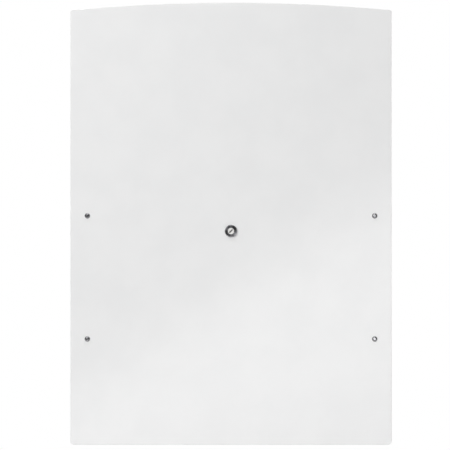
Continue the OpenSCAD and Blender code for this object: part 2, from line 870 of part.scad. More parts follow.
leaf_panel();
panel_screws();
panel_pads();
panel_bosses();
hinge_column();
upper_rail();
lower_rail();
free_stile();
rail_end_caps();
upper_bush();
lower_bush();
spring_anchor();
anchor_screw();
mounting_plate();
upper_bracket();
lower_bracket();
bracket_screws();
pivot_shaft();
shaft_caps();
shaft_set_screws();
thrust_washer();
closing_spring();
spring_collar();
collar_set_screw();
stop_pin();
stop_sleeve();
lock_body();
lock_washer();
lock_nut();
key_plug();
crank_plate();
crank_pin();
crank_screw();
bolt_rod();
bolt_nose();
bolt_yoke();
yoke_rivets();
inner_guide();
outer_guide();
guide_screws();
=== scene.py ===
# %% [markdown]
# # A sprung swing gate for a checkout lane
# The gate is a flat white leaf with a gently arched top. Four button-head screws hold it to a
# welded tube frame, and a round chrome key lock sits in the middle. Behind the leaf a column
# turns on a fixed shaft, a spring closes the gate, and the lock's crank pushes a bolt out.
# The exact CAD model is the frame for everything here: it gives each part's place and the way
# it moves. This lesson builds the looks around it, one piece and one finish at a time.

# %% Load the frame
import bmesh
import bpy
import json
import math
from mathutils import Matrix, Vector


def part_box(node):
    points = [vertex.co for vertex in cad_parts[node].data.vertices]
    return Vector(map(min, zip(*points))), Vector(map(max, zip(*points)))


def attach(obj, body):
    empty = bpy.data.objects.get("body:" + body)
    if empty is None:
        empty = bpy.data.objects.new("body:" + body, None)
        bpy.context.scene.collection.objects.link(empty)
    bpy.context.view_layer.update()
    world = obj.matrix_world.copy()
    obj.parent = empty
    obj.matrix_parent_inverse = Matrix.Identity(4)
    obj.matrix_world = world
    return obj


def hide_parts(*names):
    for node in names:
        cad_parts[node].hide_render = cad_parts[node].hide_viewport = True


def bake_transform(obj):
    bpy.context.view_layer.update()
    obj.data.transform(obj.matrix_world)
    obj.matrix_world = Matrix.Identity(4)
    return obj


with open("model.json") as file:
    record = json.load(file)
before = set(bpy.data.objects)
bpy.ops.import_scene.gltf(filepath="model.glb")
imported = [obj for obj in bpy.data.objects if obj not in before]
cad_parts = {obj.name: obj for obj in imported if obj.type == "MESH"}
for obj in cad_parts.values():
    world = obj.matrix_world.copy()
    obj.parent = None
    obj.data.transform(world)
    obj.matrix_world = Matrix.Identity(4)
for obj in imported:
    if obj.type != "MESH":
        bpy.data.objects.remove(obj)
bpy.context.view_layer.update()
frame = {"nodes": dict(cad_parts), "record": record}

mm = 0.001
scene = bpy.context.scene
body_of = {n: body for body, nodes in frame["record"]["behaviour"]["bodies"].items() for n in nodes}
slot_of = {part["node"]: part["material_slot"] for part in frame["record"]["subparts"]}

# %% [markdown]
# ## Writing shader maths as sums
# A finish is a small graph of nodes. Adding Math nodes by hand is slow to read, so `Field`
# wraps one socket and turns `0.2 + 0.1 * grain` into the nodes that work it out. A Math node
# handles one number at a point and would turn a colour grey, so colours go through Mix.

# %% One number that varies over a surface
class Field:
    """One socket of a finish; sums on it add Math nodes."""

    def __init__(self, tree, socket):
        self.tree, self.socket = tree, socket

    def math(self, operation, *values):
        node = self.tree.nodes.new("ShaderNodeMath")
        node.operation = operation
        for slot, value in zip(node.inputs, values):
            plug(self.tree, slot, value)
        return Field(self.tree, node.outputs[0])

    def __add__(self, other):
        return self.math("ADD", self, other)

    def __sub__(self, other):
        return self.math("SUBTRACT", self, other)

    def __rsub__(self, other):
        return self.math("SUBTRACT", other, self)

    def __mul__(self, other):
        return self.math("MULTIPLY", self, other)

    __radd__ = __add__
    __rmul__ = __mul__


def plug(tree, slot, value):
    """Links a field to a socket, or sets a plain value on it."""
    if isinstance(value, Field):
        tree.links.new(value.socket, slot)
    else:
        slot.default_value = value


# %% [markdown]
# ## A finish in real millimetres
# Every part is built at its real size and place, so the Object coordinates times 1000 are
# millimetres on the part. Grain sizes can then be given as they are on the real thing: paint
# has an orange peel of about a millimetre, ground steel has lines a tenth of that.

# %% The builder of finishes
class Finish:
    """A material on one Principled shader, with its patterns measured in millimetres."""

    def __init__(self, slot, **constants):
        self.material = bpy.data.materials.new(slot)
        self.material.use_nodes = True
        self.tree = self.material.node_tree
        self.shader = self.tree.nodes["Principled BSDF"]
        for name, value in constants.items():
            self.shader.inputs[name.replace("_", " ")].default_value = value
        place = self.node("TexCoord", out="Object")
        self.place = self.node("VectorMath", {"operation": "SCALE"}, {0: place, "Scale": 1000.0})

    def node(self, kind, settings=None, sockets=None, out=0):
        node = self.tree.nodes.new("ShaderNode" + kind)
        for key, value in (settings or {}).items():
            setattr(node, key, value)
        for key, value in (sockets or {}).items():
            plug(self.tree, node.inputs[key], value)
        return Field(self.tree, node.outputs[out])

    def grain(self, size, detail=2.0, stretch=(1, 1, 1), place=None):
        """Noise from 0 to 1 whose lumps are about `size` millimetres across."""
        place = place or self.place
        if stretch != (1, 1, 1):
            squeeze = [1 / s for s in stretch]
            place = self.node("VectorMath", {"operation": "MULTIPLY"}, {0: place, 1: squeeze})
        return self.node("TexNoise", {}, {"Vector": place, "Scale": 1 / size, "Detail": detail})

    def step(self, field, low, high):
        """0 below `low`, 1 above `high`, smooth between."""
        return self.node("MapRange", {"interpolation_type": "SMOOTHSTEP"},
                         {"Value": field, "From Min": low, "From Max": high})

    def mix(self, mask, colour_a, colour_b):
        """From `colour_a` where the mask is 0 to `colour_b` where it is 1."""
        sockets = {0: mask, 6: colour_a, 7: colour_b}
        for key in (6, 7):
            if not isinstance(sockets[key], Field):
                sockets[key] = (*sockets[key], 1)
        return self.node("Mix", {"data_type": "RGBA"}, sockets, out=2)

    def cells(self, size):
        """Crystal patches, each with its own even value."""
        return self.node("TexVoronoi", {}, {"Vector": self.place, "Scale": 1 / size}, out="Color")

    def radius(self, centre, axis):
        """Distance in millimetres from an axis through `centre`."""
        keep = [0 if k == "XYZ".index(axis) else 1 for k in range(3)]
        off = self.node("VectorMath", {"operation": "SUBTRACT"}, {0: self.place, 1: centre})
        flat = self.node("VectorMath", {"operation": "MULTIPLY"}, {0: off, 1: keep})
        return self.node("VectorMath", {"operation": "LENGTH"}, {0: flat}, out="Value")

    def relief(self, height, depth):
        """Raises the surface by `depth` millimetres where `height` is 1."""
        bump = self.node("Bump", {}, {"Height": height, "Distance": depth * mm, "Strength": 1.0})
        plug(self.tree, self.shader.inputs["Normal"], bump)

    def set(self, name, field):
        plug(self.tree, self.shader.inputs[name], field)


finishes = {}

# %% [markdown]
# ## White leaf
# The leaf is a plastic-faced board with a semi-gloss skin. Such a skin is never a mirror: it
# has a fine mottle from the roller that pressed it, a barely visible cloudiness in the white,
# and faint wipe marks that only show as a change of gloss. The mottle is relief, the clouds
# are colour and the wipe marks are roughness, because that is how each one works on the leaf.

# %% Finish: white leaf
leaf_skin = Finish("white_panel", IOR=1.48)
mottle = leaf_skin.grain(1.6, detail=3.0)
pores = leaf_skin.grain(0.4)
clouds = leaf_skin.step(leaf_skin.grain(70, detail=4.0), 0.3, 0.7)
wipes = leaf_skin.step(leaf_skin.grain(22, detail=4.0, stretch=(5, 1, 1)), 0.42, 0.8)
leaf_skin.set("Base Color", leaf_skin.mix(clouds, (0.822, 0.824, 0.825), (0.842, 0.843, 0.843)))
leaf_skin.set("Roughness", 0.13 + 0.04 * pores + 0.035 * wipes)
leaf_skin.relief(0.8 * mottle + 0.2 * pores, 0.008)
finishes["white_panel"] = leaf_skin.material

# %% [markdown]
# ## Powder coat
# The tube frame, the brackets and the mounting plate are powder coated. The powder melts into
# a satin film with a soft orange peel, and picks up small rubs that look a little glossier.

# %% Finish: powder coat
coat = Finish("frame_paint")
peel = coat.grain(1.5, detail=2.0)
rubs = coat.step(coat.grain(9, detail=5.0, stretch=(1, 1, 3)), 0.6, 0.74)
dust = coat.grain(28, detail=4.0)
coat.set("Base Color", coat.mix(dust, (0.66, 0.675, 0.69), (0.74, 0.75, 0.76)))
coat.set("Roughness", 0.42 + 0.1 * peel - 0.12 * rubs)
coat.relief(peel, 0.09)
finishes["frame_paint"] = coat.material

# %% [markdown]
# ## Metals
# A metal's colour is nearly all reflection, so what tells one from another is how its surface
# was worked. The lock's rim is chrome with hairlines, and its colour is made dark as a painted
# reflection of the dark surroundings. The stainless screws are tumbled, so they keep soft dents,
# and their colour too is darkened as painted reflection. The lock's plug is faced on a lathe and
# keeps rings round its own axis. Ground bar has fine lines round it, zinc plate is patchy, and
# black oxide is oily.

# %% Finishes: chrome and stainless screws, both darkened by painted reflection
chrome = Finish("lock_chrome", Metallic=1.0)
smudge = chrome.grain(3.5, detail=3.0)
hairline = chrome.step(chrome.grain(0.5, detail=4.0, stretch=(9, 9, 1)), 0.62, 0.7)
# Painted reflection: the chrome's base colour is kept dark so the rim looks like it mirrors dark
# surroundings.
chrome.set("Base Color", chrome.mix(smudge, (0.16, 0.16, 0.17), (0.23, 0.23, 0.24)))
chrome.set("Roughness", 0.05 + 0.07 * smudge + 0.1 * hairline)
chrome.relief(hairline, -0.002)
finishes["lock_chrome"] = chrome.material

tumbled = Finish("stainless_screws", Metallic=1.0)
dents = tumbled.grain(0.9, detail=3.0)
# Partly painted reflection: the stainless base colour is kept dark to stand in for dark
# reflections, and the dents vary it.
tumbled.set("Base Color", tumbled.mix(dents, (0.25, 0.25, 0.26), (0.34, 0.34, 0.35)))
tumbled.set("Roughness", 0.08 + 0.14 * dents)
tumbled.relief(dents, 0.01)
finishes["stainless_screws"] = tumbled.material

# %% Finish: the lock plug's faced nickel
lock_x, lock_z = 273.0, 88.0
ring_pitch = 0.22
nickel = Finish("plug_nickel", Metallic=1.0)
from_axis = nickel.radius((lock_x, 0.0, lock_z), "Y")
rings = from_axis.math("PINGPONG", from_axis, ring_pitch) * (1 / ring_pitch)
wear = nickel.grain(1.5, detail=3.0)
nickel.set("Base Color", nickel.mix(wear, (0.68, 0.67, 0.65), (0.78, 0.775, 0.76)))
nickel.set("Roughness", 0.34 + 0.08 * rings + 0.08 * wear)
nickel.relief(rings, 0.004)
finishes["plug_nickel"] = nickel.material

# %% Finishes: ground bar, zinc plate and black oxide
ground = Finish("ground_steel", Metallic=1.0)
lines = ground.grain(0.12, detail=2.0, stretch=(1, 30, 30))
handled = ground.grain(12, detail=4.0)
ground.set("Base Color", ground.mix(handled, (0.50, 0.51, 0.52), (0.60, 0.61, 0.62)))
ground.set("Roughness", 0.2 + 0.12 * lines + 0.08 * handled)
ground.relief(lines, 0.003)
finishes["ground_steel"] = ground.material

zinc = Finish("zinc_steel", Metallic=1.0)
patch = zinc.cells(2.2)
bloom = zinc.grain(6, detail=4.0)
spangle = zinc.mix(patch, (0.46, 0.48, 0.51), (0.55, 0.57, 0.58))
zinc.set("Base Color", zinc.mix(0.35 * bloom, spangle, (0.58, 0.55, 0.46)))
zinc.set("Roughness", 0.3 + 0.14 * patch + 0.1 * bloom)
zinc.relief(zinc.grain(0.6), 0.006)
finishes["zinc_steel"] = zinc.material

oxide = Finish("black_steel", Metallic=1.0)
oil = oxide.grain(4, detail=4.0)
oxide.set("Base Color", oxide.mix(oil, (0.035, 0.035, 0.04), (0.1, 0.098, 0.1)))
oxide.set("Roughness", 0.32 + 0.2 * oil)
oxide.relief(oxide.grain(0.5), 0.006)
finishes["black_steel"] = oxide.material

# %% [markdown]
# ## Plastics and rubber
# The moulded parts come out of a spark-eroded mould, which leaves an even, fine texture. The
# bushes are natural nylon: ivory, slightly see-through and smoother where the column turns.
# Rubber is the dullest surface here and holds dust in its low places.

# %% Finishes: moulded plastic, nylon and rubber
moulded = Finish("black_plastic")
spark = moulded.grain(0.35, detail=2.0)
chalk = moulded.step(moulded.grain(7, detail=5.0), 0.5, 0.8)
moulded.set("Base Color", moulded.mix(chalk, (0.018, 0.018, 0.019), (0.045, 0.045, 0.046)))
moulded.set("Roughness", 0.5 + 0.15 * spark)
moulded.relief(spark, 0.02)
finishes["black_plastic"] = moulded.material

nylon = Finish("bush_nylon", Subsurface_Weight=0.15, Subsurface_Scale=0.002)
flow = nylon.grain(5, detail=3.0)
nylon.set("Base Color", nylon.mix(flow, (0.70, 0.68, 0.58), (0.79, 0.77, 0.69)))
nylon.set("Roughness", 0.36 + 0.12 * flow)
nylon.relief(nylon.grain(0.5), 0.01)
finishes["bush_nylon"] = nylon.material


def rubber(slot, deep, dusty):
    """Matte rubber with dust in its pits."""
    skin = Finish(slot)
    pits = skin.grain(0.5, detail=3.0)
    lint = skin.step(skin.grain(3, detail=5.0), 0.45, 0.8)
    skin.set("Base Color", skin.mix(lint, deep, dusty))
    skin.set("Roughness", 0.7 + 0.2 * pits)
    skin.relief(pits, 0.03)
    return skin.material


finishes["black_rubber"] = rubber("black_rubber", (0.014, 0.014, 0.014), (0.05, 0.048, 0.045))
finishes["grey_rubber"] = rubber("grey_rubber", (0.12, 0.12, 0.125), (0.2, 0.198, 0.195))
print("finishes:", sorted(finishes))

# %% [markdown]
# ## From points to pieces
# Each helper below returns a shape as plain points and faces, and `piece` turns one or more
# shapes into an object. A piece that stands for CAD parts takes its body, material slot and
# finish from the first of them, hides them, and is parented to that body so it moves. Edges
# sharper than 40 degrees stay crisp and the rest are shaded smooth, as on a machined part. Smooth
# shading alone would bend the light across a whole flat face towards its rounded edge, so a
# Weighted Normal modifier lets the large faces decide and keeps the curve inside the edge itself.

# %% Make a piece
crisp_edge = math.radians(40)


def piece(name, shapes, *stands_for, body=None, slot=None, across=None):
    """An object from shapes, in place of the CAD parts it stands for. `across` names two
    bodies and points that are not used; such a piece stays in world space, tied to no body."""
    bm = bmesh.new()
    for points, faces in shapes:
        solid = bmesh.new()
        verts = [solid.verts.new(p) for p in points]
        for corners in faces:
            solid.faces.new([verts[k] for k in corners])
        bmesh.ops.remove_doubles(solid, verts=solid.verts, dist=1e-6)
        bmesh.ops.recalc_face_normals(solid, faces=solid.faces)
        scrap = bpy.data.meshes.new("scrap")
        solid.to_mesh(scrap)
        bm.from_mesh(scrap)
        bpy.data.meshes.remove(scrap)
        solid.free()
    mesh = bpy.data.meshes.new(name)
    bm.to_mesh(mesh)
    bm.free()
    mesh.shade_smooth()
    mesh.set_sharp_from_angle(angle=crisp_edge)
    obj = bpy.data.objects.new(name, mesh)
    scene.collection.objects.link(obj)
    slot = slot or slot_of[stands_for[0]]
    mesh.materials.append(finishes[slot])
    if across:
        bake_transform(obj)
    else:
        obj.modifiers.new("flat faces stay flat", "WEIGHTED_NORMAL").keep_sharp = True
        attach(obj, body or body_of[stands_for[0]])
    if stands_for:
        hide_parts(*stands_for)
    print(f"{name}: {len(mesh.polygons)} faces")
    return obj


# %% [markdown]
# ## Flat plates with eased edges
# A sheet or board is an outline with a thickness. A filled 2D curve gives exactly that, with
# holes, and its own bevel rounds the edges over. The bevel would grow the outline, so the
# curve is drawn in by the same amount first. Holes run the other way round than the outside,
# which is how the curve knows on which side the material is.

# %% Outlines and plates
def arc(centre, radius, start, end, steps):
    """Points on an arc, angles in degrees."""
    turns = [math.radians(start + (end - start) * k / steps) for k in range(steps + 1)]
    return [(centre[0] + radius * math.cos(t), centre[1] + radius * math.sin(t)) for t in turns]


def hole(centre, radius, steps=48):
    """A round hole, clockwise."""
    return arc(centre, radius, 360, 0, steps)[:-1]


def rounded(a0, a1, b0, b1, radius, steps=5):
    """A rectangle with round corners, counter-clockwise."""
    r = radius
    return (arc((a1 - r, b0 + r), r, -90, 0, steps) + arc((a1 - r, b1 - r), r, 0, 90, steps)
            + arc((a0 + r, b1 - r), r, 90, 180, steps) + arc((a0 + r, b0 + r), r, 180, 270, steps))


lay = {
    "X": Matrix(((0, 0, 1, 0), (1, 0, 0, 0), (0, 1, 0, 0), (0, 0, 0, 1))),
    "Y": Matrix(((1, 0, 0, 0), (0, 0, -1, 0), (0, 1, 0, 0), (0, 0, 0, 1))),
    "Z": Matrix.Identity(4),
}


def plate(loops, low, high, ease, axis="Y", rounds=2):
    """A plate from millimetre outlines across `axis`, from `low` to `high`, with eased edges."""
    curve = bpy.data.curves.new("outline", "CURVE")
    curve.dimensions, curve.fill_mode = "2D", "BOTH"
    curve.extrude = (high - low) / 2 - ease
    curve.bevel_depth, curve.bevel_resolution, curve.offset = ease, rounds, -ease
    for loop in loops:
        spline = curve.splines.new("POLY")
        spline.points.add(len(loop) - 1)
        for point, (a, b) in zip(spline.points, loop):
            point.co = (a, b, 0, 1)
        spline.use_cyclic_u = True
    drawing = bpy.data.objects.new("outline", curve)
    scene.collection.objects.link(drawing)
    depsgraph = bpy.context.evaluated_depsgraph_get()
    mesh = bpy.data.meshes.new_from_object(drawing.evaluated_get(depsgraph))
    bpy.data.objects.remove(drawing)
    bpy.data.curves.remove(curve)
    middle = Vector([(low + high) / 2 if k == "XYZ".index(axis) else 0 for k in range(3)])
    points = [(lay[axis] @ v.co + middle) * mm for v in mesh.vertices]
    faces = [tuple(p.vertices) for p in mesh.polygons]
    bpy.data.meshes.remove(mesh)
    return points, faces


# %% [markdown]
# ## Turned parts
# Screws, bushes, the shaft and the lock are turned on a lathe, and so they are here: a
# half-profile of (radius, height) pairs is revolved about its axis. A radius may also be a
# function of the angle, and a hexagon is just such a function, which gives key sockets and
# nuts without cutting anything.

# %% The lathe
directions = {name: (Vector(up), Vector(side)) for name, up, side in (
    ("X", (1, 0, 0), (0, 1, 0)), ("-X", (-1, 0, 0), (0, 1, 0)),
    ("Y", (0, 1, 0), (1, 0, 0)), ("-Y", (0, -1, 0), (1, 0, 0)),
    ("Z", (0, 0, 1), (1, 0, 0)), ("-Z", (0, 0, -1), (1, 0, 0)))}


def hexagon(flats):
    """The radius of a hexagon at each angle, from its width across the flats."""
    sixth = math.pi / 3
    return lambda angle: flats / 2 / math.cos((angle + sixth / 2) % sixth - sixth / 2)


def turned(profile, at, along="Z", sides=48, ring=False):
    """Revolves (radius, height) pairs in millimetres; a ring's profile closes on itself."""
    up, side = directions[along]
    other = up.cross(side)
    points = []
    for k in range(sides):
        angle = 2 * math.pi * k / sides
        out = side * math.cos(angle) + other * math.sin(angle)
        for radius, height in profile:
            reach = radius(angle) if callable(radius) else radius
            points.append((Vector(at) + up * height + out * reach) * mm)
    n = len(profile)
    spans = range(n) if ring else range(n - 1)
    faces = [(k * n + i, k * n + (i + 1) % n, (k + 1) % sides * n + (i + 1) % n,
              (k + 1) % sides * n + i) for k in range(sides) for i in spans]
    return points, faces


def bar(radius, low, high, chamfer):
    """The profile of a plain turned bar with chamfered ends."""
    return [(0, low), (radius - chamfer, low), (radius, low + chamfer),
            (radius, high - chamfer), (radius - chamfer, high), (0, high)]


def washer(radius, bore, low, high, ease):
    """The profile of a ring with eased outer edges."""
    return [(bore, low), (radius - ease, low), (radius - 0.3 * ease, low + 0.3 * ease),
            (radius, low + ease), (radius, high - ease), (radius - 0.3 * ease, high - 0.3 * ease),
            (radius - ease, high), (bore, high)]


# %% [markdown]
# ## Swept pieces
# A weld bead and a spring are both a round section carried along a path. `swept` moves a ring
# of points along the path, turning it as little as it can so that it doesn't twist.

# %% Sweeping
def swept(path, radius, sides=8, loop=False):
    """A tube along millimetre points; radius is a function of the point's number."""
    path = [Vector(p) for p in path]
    n = len(path)
    points, across = [], None
    for k, here in enumerate(path):
        before = path[k - 1] if loop or k else here
        after = path[(k + 1) % n] if loop or k < n - 1 else here
        travel = (after - before).normalized()
        across = travel.orthogonal() if across is None else across - travel * across.dot(travel)
        across.normalize()
        other = travel.cross(across)
        for i in range(sides):
            a = 2 * math.pi * i / sides
            points.append((here + (across * math.cos(a) + other * math.sin(a)) * radius(k)) * mm)
    spans = range(n) if loop else range(n - 1)
    faces = [(k * sides + i, k * sides + (i + 1) % sides, (k + 1) % n * sides + (i + 1) % sides,
              (k + 1) % n * sides + i) for k in spans for i in range(sides)]
    if not loop:
        faces += [tuple(range(sides)), tuple((n - 1) * sides + i for i in range(sides))]
    return points, faces

# %% [markdown]
# ## The leaf
# The leaf is one sheet: straight sides, small round corners, and a top edge that is a very
# shallow arc from corner to corner. The arc's radius follows from the width and the rise, and
# each top corner is a small circle that touches both the side and the arc. The same outline
# could be drawn by hand, but worked out like this the corners meet without a kink.

# %% Leaf
leaf_low, leaf_high = [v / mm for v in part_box("leaf_panel")]
leaf_wide = leaf_high.x - leaf_low.x
leaf_middle = (leaf_high.x + leaf_low.x) / 2
arch_rise, top_corner, bottom_corner = 14.0, 4.0, 6.0
leaf_ease = 1.2
screw_columns, screw_rows = (0.0, 546.0), (-117.0, 117.0)
screw_hole, lock_hole, lock_hole_flats = 3.3, 9.6, 8.1


def leaf_outline():
    """Straight sides and bottom, an arched top, and a small circle at each corner."""
    half = leaf_wide / 2
    arch_r = (half ** 2 + arch_rise ** 2) / (2 * arch_rise)
    arch_z = leaf_high.z - arch_r
    reach = half - top_corner
    corner_z = arch_z + math.sqrt((arch_r - top_corner) ** 2 - reach ** 2)
    lean = math.degrees(math.atan2(corner_z - arch_z, reach))
    low = half - bottom_corner
    low_z = leaf_low.z + bottom_corner
    outline = (arc((-low, low_z), bottom_corner, 180, 270, 10)
               + arc((low, low_z), bottom_corner, -90, 0, 10)
               + arc((reach, corner_z), top_corner, 0, lean, 10)
               + arc((0, arch_z), arch_r, lean, 180 - lean, 120)[1:-1]
               + arc((-reach, corner_z), top_corner, 180 - lean, 180, 10))
    return [(leaf_middle + x, z) for x, z in outline]


def barrel_outline(radius, half_flats, at, steps=12):
    """A round with two flats, clockwise, for a hole."""
    lean = math.degrees(math.acos(half_flats / radius))
    return (arc(at, radius, 180 - lean, lean, steps) + arc(at, radius, -lean, lean - 180, steps))


lock_at = (lock_x, leaf_low.y, lock_z)
leaf_holes = [hole((x, z), screw_hole) for x in screw_columns for z in screw_rows]
leaf_holes.append(barrel_outline(lock_hole, lock_hole_flats, (lock_x, lock_z)))
piece("white_leaf", [plate([leaf_outline()] + leaf_holes, leaf_low.y, leaf_high.y,
                           leaf_ease, rounds=4)], "leaf_panel")

# %% [markdown]
# ## Screws of every kind
# Socket screws hold the gate together. They differ only in size and in the shape of the head,
# so each kind is one profile for the lathe. The rim of the socket has a narrow chamfer:
# without it the head looks like a drawing, because a real edge always catches light.

# %% Screw profiles
socket_chamfer = 1.27


def shank(radius, length, tip=0.6):
    """The threaded part under a head, with a chamfered end."""
    return [(radius, 0), (radius, tip - length), (radius - tip, -length), (0, -length)]


def socket(flats, floor, rim):
    """The key socket from its middle outwards, up to the head's surface at height `rim`."""
    return [(0, floor), (hexagon(flats), floor), (hexagon(flats), rim - 0.25),
            (flats / 2 * socket_chamfer, rim)]


def button(radius, height, flats, shank_radius, length):
    """A domed head: each point lies on the sphere that the head is part of."""
    ball = (radius ** 2 + height ** 2) / (2 * height)
    edge = 0.985 * radius
    rim_r = flats / 2 * socket_chamfer
    on_ball = lambda r: height - ball + math.sqrt(ball ** 2 - r ** 2)
    dome = [(r, on_ball(r)) for r in [rim_r + (edge - rim_r) * k / 8 for k in range(1, 8)]]
    return (socket(flats, 0.45 * height, on_ball(rim_r)) + dome
            + [(edge - 0.03, 0.32), (edge, 0.2), (edge, 0)] + shank(shank_radius, length))


def flat_head(radius, height, flats, shank_radius, length):
    """A cylindrical head with a rounded top edge."""
    soft = 0.4
    return (socket(flats, 0.45 * height, height)
            + [(radius - soft, height), (radius - 0.3 * soft, height - 0.3 * soft),
               (radius, height - soft), (radius, 0)] + shank(shank_radius, length))


panel_screw = button(radius=5.25, height=3.3, flats=4.0, shank_radius=3.0, length=16.0)
piece("panel_button_screws", [turned(panel_screw, (x, leaf_low.y, z), "-Y", sides=96)
                              for x in screw_columns for z in screw_rows], "panel_screws")

# %% Crank screw and guide screws
crank_back, guide_back = -58.5, -41.0
crank_cap = flat_head(radius=4.6, height=3.0, flats=3.0, shank_radius=2.5, length=8.0)
piece("crank_cap_screw", [turned(crank_cap, (lock_x, crank_back, lock_z), "Y")], "crank_screw")
guide_screw_at = [(364.04, 111.0), (364.04, 123.0), (538.0, 61.49), (538.0, 85.49)]
guide_screw = flat_head(radius=3.8, height=2.2, flats=2.5, shank_radius=2.0, length=21.0)
piece("guide_cap_screws", [turned(guide_screw, (x, guide_back, z), "Y") for x, z in guide_screw_at],
      "guide_screws")

# %% [markdown]
# ## Screws without a proud head
# Bracket screws are countersunk and end flush with the plate's back, and set screws have no
# head at all. Both are the same lathe work with another profile.

# %% Bracket screws and set screws
bracket_columns, bracket_rows = (-11, 11), (-156.0, 154.5)
axis_y, tongue_tip, collar_z, collar_face = -54.0, 19, -116, -40.0
countersunk = (socket(3.5, -2.0, 0.0) + [(5.85, 0), (6, -0.12), (3, -3)]
               + [(3, -25.4), (2.4, -26), (0, -26)])
piece("bracket_countersunk_screws", [turned(countersunk, (x, 0, z), "Y")
                                     for x in bracket_columns for z in bracket_rows],
      "bracket_screws")


def grub(length):
    """A set screw: a socket, a chamfer at both ends and no head."""
    return socket(2.5, -2.4, 0.0) + [(2.2, 0), (2.5, -0.3), (2.5, 0.5 - length), (2.0, -length),
                                     (0, -length)]


piece("shaft_grub_screws", [turned(grub(11), (tongue_tip, axis_y, z), "X") for z in bracket_rows],
      "shaft_set_screws")
piece("collar_grub_screw", [turned(grub(6), (0, collar_face, collar_z), "Y")], "collar_set_screw")

# %% [markdown]
# ## The key lock
# The lock is the detail that the eye goes to first. Its body is turned: a flat rim that lies on
# the leaf, a groove, and a raised lip round the plug. Behind the leaf the same body is a threaded
# barrel with two flats that stop it turning in its hole. The thread is cut as rings, which is
# what a fine thread looks like from any distance, and the flats come from pushing in every
# point that is too wide.

# %% Lock body
plug_bore, rim_radius = 6.05, 11.7
barrel_radius, barrel_half_flats, barrel_length = 9.5, 8.0, 30.0
thread_pitch, thread_depth, thread_from, thread_to = 1.0, 0.5, -9.0, -29.0
face = [(plug_bore, 2.75), (plug_bore + 0.12, 2.98), (plug_bore + 0.4, 3.1), (7.75, 3.1),
        (8.05, 3.0), (8.25, 2.72), (8.35, 2.3), (9.15, 2.3), (9.25, 2.62), (9.45, 2.84),
        (9.7, 2.9), (10.35, 2.9), (10.85, 2.74), (11.3, 2.38), (11.58, 1.92), (rim_radius, 1.4),
        (rim_radius, 0.12), (rim_radius - 0.12, 0), (barrel_radius, 0),
        (barrel_radius, thread_from)]
turns = int((thread_from - thread_to) / thread_pitch)
thread = [(barrel_radius - depth, thread_from - thread_pitch * (k + part)) for k in range(turns)
          for part, depth in ((0.1, 0.0), (0.4, thread_depth), (0.6, thread_depth), (0.9, 0.0))]
tail = [(barrel_radius, thread_to), (barrel_radius - 0.8, -barrel_length),
        (plug_bore, -barrel_length)]
points, faces = turned(face + thread + tail, lock_at, "-Y", sides=96, ring=True)
for point in points:
    if point.y > (leaf_low.y + 0.01) * mm:
        off = max(-barrel_half_flats, min(barrel_half_flats, point.x / mm - lock_x))
        point.x = (lock_x + off) * mm
piece("chrome_lock_body", [(points, faces)], "lock_body")

# %% [markdown]
# ## The key plug
# The plug is the part that the key turns. It rests at 45 degrees, so its keyway runs from
# lower left to upper right. The front is a plate with a slot through it and an eased rim, and
# behind it the plug goes on as a solid turned bar that ends in a square for the crank. Just
# inside the slot stands a black shutter: a dust shutter such as a real lock has, and also painted
# shade that makes the keyway as dark as a deep hole in shade.

# %% Plug and keyway
quarter = Matrix.Translation(Vector(lock_at) * mm) @ Matrix.Rotation(math.radians(45), 4, "Y") \
    @ Matrix.Translation(-Vector(lock_at) * mm)


def at_plug(shape):
    """Turns a shape drawn with the crank hanging down to where it rests."""
    points, faces = shape
    return [quarter @ p for p in points], faces


def about_lock(half_wide, half_high, corner):
    """A rounded rectangle round the lock's axis, as wide as `half_wide` on each side."""
    return rounded(lock_x - half_wide, lock_x + half_wide, lock_z - half_high,
                   lock_z + half_high, corner)


plug_front, slot_floor, crank_front = leaf_low.y - 2.6, -72.6, -61.5
plug_radius, shutter_front, shutter_thick = 5.96, plug_front + 1.6, 1
plug_face = plate([hole((lock_x, lock_z), plug_radius, 72)[::-1], about_lock(1.1, 4.3, 0.5)[::-1]],
                  plug_front, slot_floor, 0.3, rounds=3)
plug_tail = turned(bar(plug_radius, slot_floor, crank_front, 0.02), (lock_x, 0, lock_z), "Y")
square = plate([about_lock(3.5, 3.5, 0.6)], crank_front, crank_back, 0.2)
piece("nickel_key_plug", [at_plug(plug_face), at_plug(plug_tail), at_plug(square)], "key_plug")
# Painted shade: the black shutter darkens the keyway where a deep hole would lie in shade.
shutter = plate([about_lock(1.08, 4.25, 0.5)], shutter_front, shutter_front + shutter_thick, 0.15)
piece("keyway_shade_shutter", [at_plug(shutter)], body="lock_cylinder", slot="black_steel")

# %% Crank and crank pin
crank_reach, hub_radius, tip_radius, arm_half = 17.0, 9.0, 6.0, 5.0
pin_radius, pin_end = 3.0, -50.5
hub_lean = math.degrees(math.asin(arm_half / hub_radius))
tip_lean = math.degrees(math.asin(arm_half / tip_radius))
pin_at = (lock_x, lock_z - crank_reach)
crank_outline = (arc((lock_x, lock_z), hub_radius, -90 + hub_lean, 270 - hub_lean, 36)
                 + arc(pin_at, tip_radius, 90 + tip_lean, 450 - tip_lean, 24))
crank = plate([crank_outline, about_lock(3.55, 3.55, 0.6)[::-1], hole(pin_at, pin_radius)],
              crank_front, crank_back, 0.35)
piece("lock_crank", [at_plug(crank)], "crank_plate")
crank_pin = turned(bar(pin_radius, crank_front, pin_end, 0.5), (lock_x, 0, pin_at[1]), "Y")
piece("turned_crank_pin", [at_plug(crank_pin)], "crank_pin")

